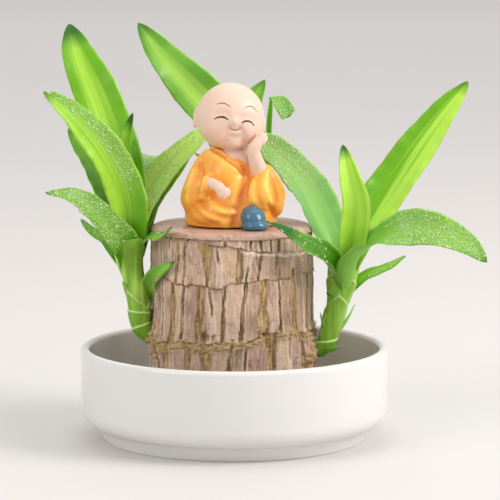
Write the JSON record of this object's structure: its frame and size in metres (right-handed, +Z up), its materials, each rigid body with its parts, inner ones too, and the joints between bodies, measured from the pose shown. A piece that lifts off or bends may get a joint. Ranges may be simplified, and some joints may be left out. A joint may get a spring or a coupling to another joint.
{
  "type": "potted brazilian lucky wood",
  "caption": "Cut Brazilian lucky wood log with leafy shoots, standing in a shallow round white dish of water, with a small seated ornament resting on the waxed top.",
  "frame": {"origin": "centre of the dish's flat underside", "axes": "+Z up along the dish's axis, -Y the front, where the ornament faces, +X the right as seen from the front"},
  "size_m": [0.2094, 0.1752, 0.1993],
  "materials": {
    "glaze": "gloss",
    "water": "gloss",
    "bark": "matte",
    "wax": "satin",
    "leaf": "satin",
    "orange_paint": "gloss",
    "skin_paint": "gloss",
    "blue_paint": "gloss"
  },
  "bodies": {
    "root": {"dish": "glaze", "water": "water", "log": "bark", "wax_cap": "wax", "shoot_left": "leaf", "shoot_right": "leaf", "shoot_rear": "leaf", "figure_robe": "orange_paint", "figure_head": "skin_paint", "figure_lap_hand": "skin_paint", "figure_cheek_arm": "skin_paint", "figure_shoe": "blue_paint"}
  },
  "joints": []
}
